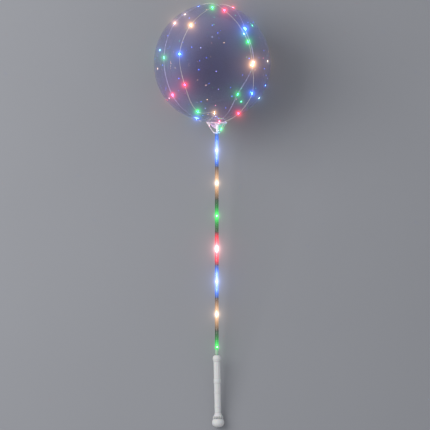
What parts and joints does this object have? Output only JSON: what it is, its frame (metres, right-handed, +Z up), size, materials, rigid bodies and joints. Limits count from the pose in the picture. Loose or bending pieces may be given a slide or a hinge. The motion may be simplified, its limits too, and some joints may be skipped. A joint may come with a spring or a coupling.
{
  "type": "led lollipop balloon",
  "caption": "Clear round bubble balloon in an open-work cup on a clear stick lit from inside, wound with a string of coloured lights, with a white battery handle.",
  "frame": {"origin": "on the surface it lies on, under the centre of its bounding box", "axes": "+Z up, +Y along the stick from the handle to the balloon, +X to the right as seen from above with the balloon at the far end"},
  "size_m": [0.3582, 1.2814, 0.3549],
  "materials": {
    "clear_film": "clear stretched film with a faint violet tint",
    "clear_plastic": "clear moulded",
    "clear_tube": "clear extruded tube, lit from inside",
    "frosted_sleeve": "translucent, slightly frosted",
    "white_plastic": "moulded, semi-gloss",
    "string_wire": "thin bare-looking lacquered wire",
    "led_green": "clear drop, lit green",
    "led_warm": "clear drop, lit warm white",
    "led_blue": "clear drop, lit blue",
    "led_red": "clear drop, lit red"
  },
  "bodies": {
    "root": {"balloon": "clear_film", "balloon_cup": "clear_plastic", "stick_tube": "clear_tube", "stick_sleeve": "frosted_sleeve", "handle_nose": "white_plastic", "handle_barrel": "white_plastic", "handle_end_cap": "white_plastic", "light_string_wire": "string_wire", "led_01": "led_green", "led_02": "led_warm", "led_03": "led_blue", "led_04": "led_red", "led_05": "led_green", "led_06": "led_warm", "led_07": "led_blue", "led_08": "led_red", "led_09": "led_green", "led_10": "led_warm", "led_11": "led_blue", "led_12": "led_red", "led_13": "led_green", "led_14": "led_warm", "led_15": "led_blue", "led_16": "led_red", "led_17": "led_green", "led_18": "led_warm", "led_19": "led_blue", "led_20": "led_red", "led_21": "led_green", "led_22": "led_warm", "led_23": "led_blue", "led_24": "led_red", "led_25": "led_green", "led_26": "led_warm", "led_27": "led_blue", "led_28": "led_red", "led_29": "led_green"}
  },
  "joints": []
}
